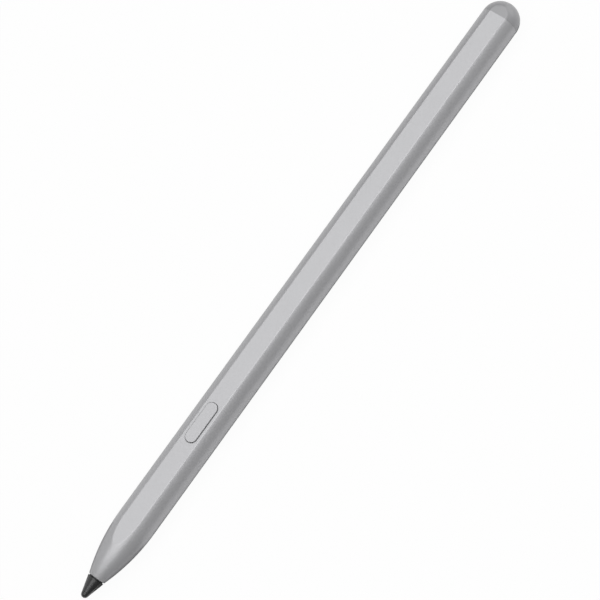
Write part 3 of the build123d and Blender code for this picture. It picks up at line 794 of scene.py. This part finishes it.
# Solder mask: glossy green, paler over the copper tracks and darker over bare laminate, with gold
# dots where a via comes through. Tracks are 0.15 mm apart, drawn at 0.3 mm.
solder_mask, tree, place = new_finish("green_solder_mask", 0.32, ior=1.55)
tracks = add_node(
    tree,
    "ShaderNodeTexBrick",
    {
        "Vector": place,
        "Color1": to_linear("#1F5C3A"),
        "Color2": to_linear("#1A5233"),
        "Mortar": to_linear("#10351F"),
        "Scale": 1 / mm,
        "Mortar Size": 0.05,
        "Brick Width": 7.0,
        "Row Height": 0.3,
    },
    offset=0.37,
)
via_cells = add_node(tree, "ShaderNodeTexVoronoi", {"Vector": place, "Scale": 1 / (1.5 * mm)})
vias = add_node(
    tree,
    "ShaderNodeMapRange",
    {
        "Value": via_cells.outputs["Distance"],
        "From Min": 0.1,
        "From Max": 0.13,
        "To Min": 1.0,
        "To Max": 0.0,
    },
)
etched = add_node(
    tree,
    "ShaderNodeBump",
    {"Height": tracks.outputs["Fac"], "Strength": 0.4, "Distance": 0.03 * mm},
    invert=True,
)
join_finish(
    tree,
    colours=(vias.outputs["Result"], tracks.outputs["Color"], "#C9A856"),
    others={"Metallic": vias.outputs["Result"], "Normal": etched.outputs["Normal"]},
)
coat(solder_mask, "main_board", "antenna_board")

# Chips and switch body
# Processor, power chip and radio chip, and the body of the tactile switch under the button. They
# are moulded in black epoxy filled with quartz, and soldered to the board.

# Filled epoxy: dark grey and matt, with a fine sparkle of filler that is drawn at 0.1 mm.
epoxy, tree, place = new_finish("quartz_filled_epoxy", 0.55, ior=1.55)
filler = add_node(tree, "ShaderNodeTexVoronoi", {"Vector": place, "Scale": 1 / (0.1 * mm)})
join_finish(
    tree,
    colours=(filler.outputs["Color"], "#151516", "#252527"),
    roughness=(filler.outputs["Color"], 0.45, 0.65),
)
coat(epoxy, "processor", "power_chip", "radio_chip", "switch_body")

# Board capacitors
# Two rows of ceramic chip capacitors soldered under the board. Each is a fired brown block with a
# band of tin round both ends.
capacitor_pitch = 1.5
capacitor_length = 1.0
capacitor_band = 0.25

# Tinned ceramic: matt brown in the middle and bright tin at the ends, worked out from the pitch.
capacitor_ends, tree, place = new_finish("tinned_ceramic_chip", 0.42)
along = add_node(tree, "ShaderNodeSeparateXYZ", {0: place})
from_first = add_node(
    tree,
    "ShaderNodeMath",
    {0: along.outputs["X"], 1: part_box("board_capacitors")[0].x},
    operation="SUBTRACT",
)
from_front = add_node(
    tree, "ShaderNodeMath", {0: from_first.outputs[0], 1: capacitor_pitch * mm}, operation="MODULO"
)
off_middle = add_node(
    tree, "ShaderNodeMath", {0: from_front.outputs[0], 1: capacitor_length / 2 * mm}, operation="SUBTRACT"
)
distance = add_node(tree, "ShaderNodeMath", {0: off_middle.outputs[0]}, operation="ABSOLUTE")
tin = add_node(
    tree,
    "ShaderNodeMath",
    {0: distance.outputs[0], 1: (capacitor_length / 2 - capacitor_band) * mm},
    operation="GREATER_THAN",
)
fired = add_node(tree, "ShaderNodeTexNoise", {"Vector": place, "Scale": 1 / (0.1 * mm), "Detail": 2.0})
ceramic = add_node(
    tree,
    "ShaderNodeMix",
    {0: fired.outputs["Fac"], 6: to_linear("#7D5C40"), 7: to_linear("#9A7654")},
    data_type="RGBA",
)
join_finish(
    tree,
    colours=(tin.outputs[0], ceramic.outputs[2], "#BDBEC0"),
    others={"Metallic": tin.outputs[0]},
)
coat(capacitor_ends, "board_capacitors")

# Shield can
# A lid folded from tinned steel sheet over the radio chip, and soldered to the board all round. It
# keeps the radio and the circuits beside it from disturbing each other.

# Hot tinned sheet: silvery, with the large flat crystals of the tin, about 0.8 mm across.
tinned, tree, place = new_finish("hot_tinned_sheet", 0.32, metallic=1.0)
crystals = add_node(tree, "ShaderNodeTexVoronoi", {"Vector": place, "Scale": 1 / (0.8 * mm)})
join_finish(
    tree,
    colours=(crystals.outputs["Color"], "#A9ABAD", "#C4C6C8"),
    roughness=(crystals.outputs["Color"], 0.24, 0.42),
)
coat(tinned, "shield_can")

# Battery cell
# A pin cell in a deep-drawn aluminium can, with a bead rolled in behind its rim. It lies in the
# trough of the chassis.

# Drawn aluminium: pale, with long fine lines from the die that stretch its highlights. Lines of
# 0.02 mm are drawn 0.08 mm wide.
drawn_can, tree, place = new_finish("deep_drawn_aluminium", 0.3, metallic=1.0)
drawing = add_node(
    tree,
    "ShaderNodeMapping",
    {"Vector": place, "Scale": (1 / (12.0 * mm), 1 / (0.08 * mm), 1 / (0.08 * mm))},
)
die_lines = add_node(
    tree, "ShaderNodeTexNoise", {"Vector": drawing.outputs[0], "Scale": 1.0, "Detail": 2.0}
)
join_finish(
    tree,
    colours=(die_lines.outputs["Fac"], "#B2B3B5", "#CBCCCE"),
    roughness=(die_lines.outputs["Fac"], 0.22, 0.4),
    relief=(die_lines.outputs["Fac"], 0.15, 0.01),
)
coat(drawn_can, "battery_cell")

# Battery terminal and tabs
# The disc on the front of the cell and the two bent strips from it to the board. They are cut from
# nickel strip, and welded and soldered on.

# Rolled nickel: warm silver with rolling lines along the strip, drawn at 0.1 mm, and duller patches.
nickel_strip, tree, place = new_finish("rolled_nickel_strip", 0.3, metallic=1.0)
rolling = add_node(
    tree,
    "ShaderNodeMapping",
    {"Vector": place, "Scale": (1 / (3.0 * mm), 1 / (0.1 * mm), 1 / (3.0 * mm))},
)
roll_lines = add_node(
    tree, "ShaderNodeTexNoise", {"Vector": rolling.outputs[0], "Scale": 1.0, "Detail": 3.0}
)
join_finish(
    tree,
    colours=(roll_lines.outputs["Fac"], "#A9A59C", "#C8C4BA"),
    roughness=(roll_lines.outputs["Fac"], 0.22, 0.4),
)
coat(nickel_strip, "battery_terminal", "battery_tab_left", "battery_tab_right")

# Battery foam
# A strip of open-cell polyurethane foam glued between the cell and the flat of the tube, so that
# the cell doesn't rattle.

# Open-cell foam: dull black, with round cells of 0.3 mm whose pits are painted darker than their pale
# walls, a painted shade in the hollows.
foam, tree, place = new_finish("open_cell_polyurethane", 0.9)
cells = add_node(tree, "ShaderNodeTexVoronoi", {"Vector": place, "Scale": 1 / (0.3 * mm)})
join_finish(
    tree,
    colours=(cells.outputs["Distance"], "#121213", "#3A3A3C"),
    relief=(cells.outputs["Distance"], 0.7, 0.1),
)
coat(foam, "battery_foam")

# Ferrite core
# A pressed and sintered bar with a cheek at each end, set in a pocket of the chassis under the
# flat. The charging coil is wound between its cheeks.

# Sintered ferrite: charcoal, dry, with a mottled grain of 0.15 mm and a slight metal glint.
ferrite, tree, place = new_finish("sintered_ferrite", 0.5, metallic=0.2)
sinter = add_node(tree, "ShaderNodeTexNoise", {"Vector": place, "Scale": 1 / (0.15 * mm), "Detail": 4.0})
join_finish(
    tree,
    colours=(sinter.outputs["Fac"], "#262628", "#424245"),
    roughness=(sinter.outputs["Fac"], 0.4, 0.62),
    relief=(sinter.outputs["Fac"], 0.2, 0.02),
)
coat(ferrite, "ferrite_core")

# Charging coil
# One layer of enamelled copper wire wound tightly round the waist of the ferrite core, turn against
# turn. It takes up the charging field through the flat.
coil_wire_radius = 0.16 * mm
coil_wire_sides = 10
coil_pitch = 2.05 * coil_wire_radius
coil_turn_points = 32
coil_corner_share = 0.12

# Enamelled copper: bright reddish metal under a clear coat, a little darker in patches.
enamelled, tree, place = new_finish("enamelled_copper_wire", 0.26, metallic=1.0)
annealed = add_node(tree, "ShaderNodeTexNoise", {"Vector": place, "Scale": 1 / (1.0 * mm), "Detail": 3.0})
tree.nodes["Principled BSDF"].inputs["Coat Weight"].default_value = 0.6
tree.nodes["Principled BSDF"].inputs["Coat Roughness"].default_value = 0.1
join_finish(
    tree,
    colours=(annealed.outputs["Fac"], "#A0522D", "#CC7A4C"),
    roughness=(annealed.outputs["Fac"], 0.2, 0.34),
)

low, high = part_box("charging_coil")
coil_length = high.x - low.x - 2 * coil_wire_radius
coil = piece_by_rule(
    "charging_coil_winding",
    winding,
    bpy.data.meshes.new("charging_coil_start"),
    {
        "Turns": int(coil_length / coil_pitch),
        "Points Per Turn": coil_turn_points,
        "Start": low.x + coil_wire_radius,
        "Length": coil_length,
        "Half Width": (high.y - low.y) / 2 - coil_wire_radius,
        "Half Height": (high.z - low.z) / 2 - coil_wire_radius,
        "Corner Share": coil_corner_share,
        "Axis Height": (low.z + high.z) / 2,
        "Wire Radius": coil_wire_radius,
        "Wire Sides": coil_wire_sides,
        "Finish": enamelled,
    },
)
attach(coil, "barrel")
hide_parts("charging_coil")

# Magnets
# Two pairs of block magnets beside the coil, glued into pockets of the chassis. They are sintered,
# chamfered and plated with nickel, and hold the flat against a tablet.

# Nickel plate: bright and slightly yellow, a little uneven where the sintered face shows through.
plated, tree, place = new_finish("nickel_plated_magnet", 0.2, metallic=1.0)
plating = add_node(tree, "ShaderNodeTexNoise", {"Vector": place, "Scale": 1 / (0.5 * mm), "Detail": 4.0})
join_finish(
    tree,
    colours=(plating.outputs["Fac"], "#B3AFA5", "#CFCBC2"),
    roughness=(plating.outputs["Fac"], 0.14, 0.28),
    relief=(plating.outputs["Fac"], 0.1, 0.02),
)
coat(plated, "magnet_1", "magnet_2", "magnet_3", "magnet_4")

# Cap seal
# A band of the same silicone as the force pad, stretched into the groove of the end cap's spigot.
# It grips the tube and keeps dust out.
coat(silicone, "cap_seal")

# End cap
# A hollow dome moulded in plain grey polycarbonate, without the metal flake, so that the antenna
# behind it can radiate. Its flat runs on from the barrel, and a keyed spigot plugs into the tube.
dome_middle = pen_length - barrel_radius
dome_steps = 40
cap_segments = 240
cap_flat_softness = 0.08
spigot_front = cap_seam - 5.0
spigot_radius = 3.67
spigot_flat = 3.17
groove_start = cap_seam - 3.2
groove_end = cap_seam - 2.2
groove_depth = 0.35
hollow_end = cap_seam + 1.8
hollow_radius = 2.97
hollow_flat = 2.47

# Satin polycarbonate: a darker grey than the barrel with no sparkle, smooth enough to give the dome
# a pale rim, with the fine grain of the mould. Grain of 0.03 mm is drawn at 0.12 mm so that it shows.
cap_plastic, tree, place = new_finish("satin_moulded_polycarbonate", 0.34, ior=1.585)
flow = add_node(tree, "ShaderNodeTexNoise", {"Vector": place, "Scale": 1 / (3.0 * mm), "Detail": 2.0})
mould_grain = add_node(
    tree, "ShaderNodeTexNoise", {"Vector": place, "Scale": 1 / (0.12 * mm), "Detail": 2.0}
)
join_finish(
    tree,
    colours=(flow.outputs["Fac"], "#8B8B8D", "#8F8F91"),
    relief=(mould_grain.outputs["Fac"], 0.1, 0.01),
)

cap_profile = [
    (hollow_end, hollow_flat, 0.0),
    (hollow_end, hollow_flat, hollow_radius),
    (spigot_front, hollow_flat, hollow_radius),
    (spigot_front, spigot_flat, spigot_radius),
    (groove_start, spigot_flat, spigot_radius),
    (groove_start, spigot_flat - groove_depth, spigot_radius - groove_depth),
    (groove_end, spigot_flat - groove_depth, spigot_radius - groove_depth),
    (groove_end, spigot_flat, spigot_radius),
    (cap_seam, spigot_flat, spigot_radius),
    (cap_seam, flat_height, barrel_radius - seam_break),
    (cap_seam + seam_break, flat_height, barrel_radius),
]
for i in range(dome_steps + 1):
    lean = pi / 2 * i / dome_steps
    cap_profile.append((dome_middle + barrel_radius * sin(lean), flat_height, barrel_radius * cos(lean)))
end_cap = turned_piece("end_cap_dome", cap_profile, cap_segments, cap_flat_softness, cap_plastic)
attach(end_cap, "barrel")
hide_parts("end_cap")

# Floor
# A plain white table that the pen lies on. It shows white to the eye and in reflections, and takes
# the soft shadow of the pen.
floor_size = 3.0
floor_cells = 8
white_to_eye = 0.95
white_in_mirrors = 0.9
work = bmesh.new()
bmesh.ops.create_grid(work, x_segments=floor_cells, y_segments=floor_cells, size=floor_size / 2)
floor_mesh = bpy.data.meshes.new("floor")
work.to_mesh(floor_mesh)
work.free()
floor = bpy.data.objects.new("floor", floor_mesh)
bpy.context.scene.collection.objects.link(floor)

# White table: matt, and in the share given above plain white, whatever light falls on it.
table_white = bpy.data.materials.new("white_table")
table_white.use_nodes = True
tree = table_white.node_tree
tree.nodes.clear()
paths = add_node(tree, "ShaderNodeLightPath").outputs
mirrored = add_node(
    tree,
    "ShaderNodeMath",
    {0: paths["Is Glossy Ray"], 1: paths["Is Transmission Ray"]},
    operation="MAXIMUM",
)
in_mirror = add_node(
    tree, "ShaderNodeMath", {0: mirrored.outputs[0], 1: white_in_mirrors}, operation="MULTIPLY"
)
to_eye = add_node(
    tree, "ShaderNodeMath", {0: paths["Is Camera Ray"], 1: white_to_eye}, operation="MULTIPLY"
)
share = add_node(
    tree, "ShaderNodeMath", {0: to_eye.outputs[0], 1: in_mirror.outputs[0]}, operation="MAXIMUM"
)
matt = add_node(tree, "ShaderNodeBsdfDiffuse", {"Color": to_linear("#DCDCDC")})
glow = add_node(tree, "ShaderNodeEmission", {"Color": to_linear("#FFFFFF"), "Strength": 1.0})
both = add_node(
    tree, "ShaderNodeMixShader", {0: share.outputs[0], 1: matt.outputs[0], 2: glow.outputs[0]}
)
add_node(tree, "ShaderNodeOutputMaterial", {"Surface": both.outputs[0]})
floor_mesh.materials.append(table_white)

# Dark card and painted shadow strips
# Sheets of dark grey card on the table, which only reflections see. A wide one in front of the pen,
# cut nearer beside the nose, draws the dark band along the pen's side. Narrow strips close to the
# pen, one of them behind the nose, are painted contact shadow: in reflection they draw the shade
# beside the pen's belly as its dark edge lines.
card_half_length = 400.0
card_near = 24.0
card_near_nose = 11.0
card_far = 600.0
card_height = 0.3
card_step = nose_end - 4.0
shadow_strip_start = 1.0
shadow_strip_end = pen_length - 1.0
shadow_strip_near, shadow_strip_far = 4.0, 5.8
nose_shadow_strip_near, nose_shadow_strip_far = 1.2, 7.8
back_shadow_strip_near, back_shadow_strip_far = 3.5, 18.0
sheets = [
    (pen_length / 2 - card_half_length, card_step, card_near_nose, card_far),
    (card_step, pen_length / 2 + card_half_length, card_near, card_far),
    # The last three sheets are narrow strips of painted contact shadow, seen only in reflection.
    (card_step, shadow_strip_end, shadow_strip_near, shadow_strip_far),
    (shadow_strip_start, card_step, nose_shadow_strip_near, nose_shadow_strip_far),
    (shadow_strip_start, card_step, -back_shadow_strip_far, -back_shadow_strip_near),
]
work = bmesh.new()
for start, end, near, far in sheets:
    corners = [(start, far), (end, far), (end, near), (start, near)]
    places = [((d - pen_length / 2) * mm, -reach * mm, card_height * mm) for d, reach in corners]
    work.faces.new([work.verts.new(place) for place in places])
card_mesh = bpy.data.meshes.new("dark_card_and_painted_shadow_strips")
work.to_mesh(card_mesh)
work.free()
card = bpy.data.objects.new("dark_card_and_painted_shadow_strips", card_mesh)
bpy.context.scene.collection.objects.link(card)

# Dark card stock: matt, with pulp fibres of 2 mm that vary its grey a little.
card_paper, tree, place = new_finish("dark_grey_card", 0.9)
fibre = add_node(tree, "ShaderNodeTexNoise", {"Vector": place, "Scale": 1 / (2.0 * mm), "Detail": 3.0})
join_finish(tree, colours=(fibre.outputs["Fac"], "#383838", "#404040"))
card_mesh.materials.append(card_paper)
card.visible_camera = False
card.visible_diffuse = False
card.visible_shadow = False

# Light
# A large soft lamp overhead that reaches further to the front than to the back, a dim panel at the
# back of the nib end and a small one beyond the domed end, in a grey room. Places are in metres.
room = bpy.data.worlds.new("dim_room")
room.use_nodes = True
bpy.context.scene.world = room
room.node_tree.nodes["Background"].inputs["Color"].default_value = to_linear("#585858")
room.node_tree.nodes["Background"].inputs["Strength"].default_value = 1.0


def soft_lamp(name, middle, aim, size_x, size_y, radiance):
    """A rectangular lamp at a place in metres, turned to a point and set by its radiance."""
    data = bpy.data.lights.new(name, "AREA")
    data.shape = "RECTANGLE"
    data.size, data.size_y = size_x, size_y
    data.energy = radiance * pi * size_x * size_y
    lamp = bpy.data.objects.new(name, data)
    bpy.context.scene.collection.objects.link(lamp)
    lamp.location = middle
    lamp.rotation_euler = (Vector(aim) - Vector(middle)).to_track_quat("-Z", "Y").to_euler()
    lamp.visible_camera = False


soft_lamp(
    "overhead_lamp",
    middle=(0.12, -0.095, 0.8),
    aim=(0.12, -0.095, 0.0),
    size_x=1.46,
    size_y=1.01,
    radiance=2.42,
)
soft_lamp(
    "side_panel", middle=(-0.22, 0.36, 0.18), aim=(-0.22, 0.0, 0.0), size_x=0.55, size_y=0.36, radiance=0.5
)
soft_lamp(
    "end_panel", middle=(0.45, -0.12, 0.09), aim=(0.08, 0.0, 0.005), size_x=0.4, size_y=0.18, radiance=1.6
)

# Camera
# Above the pen, leaning to the front and a little to the nib, and turned so that the pen runs up
# the picture from lower left to upper right. The lens is long, so the pen hardly tapers.
toward_nib = radians(7.053)
toward_front = radians(19.9)
picture_turn = radians(54.086)
camera_distance = 0.415
bpy.context.scene.view_settings.view_transform = "Standard"
camera_data = bpy.data.cameras.new("camera")
camera_data.sensor_width = 36.0
camera_data.lens = 113.13
camera_data.shift_x = -0.0036
camera_data.shift_y = -0.0095
camera = bpy.data.objects.new("camera", camera_data)
bpy.context.scene.collection.objects.link(camera)
back = Vector(
    (-sin(toward_nib), -cos(toward_nib) * sin(toward_front), cos(toward_nib) * cos(toward_front))
)
level = (Vector((1, 0, 0)) - back * back.x).normalized()
rise = level.cross(-back)
right = cos(picture_turn) * level - sin(picture_turn) * rise
up = sin(picture_turn) * level + cos(picture_turn) * rise
turned = Matrix((right, up, back)).transposed().to_4x4()
pen_middle = Vector((0, 0, barrel_radius * mm))
camera.matrix_world = Matrix.Translation(pen_middle + camera_distance * back) @ turned
bpy.context.scene.camera = camera
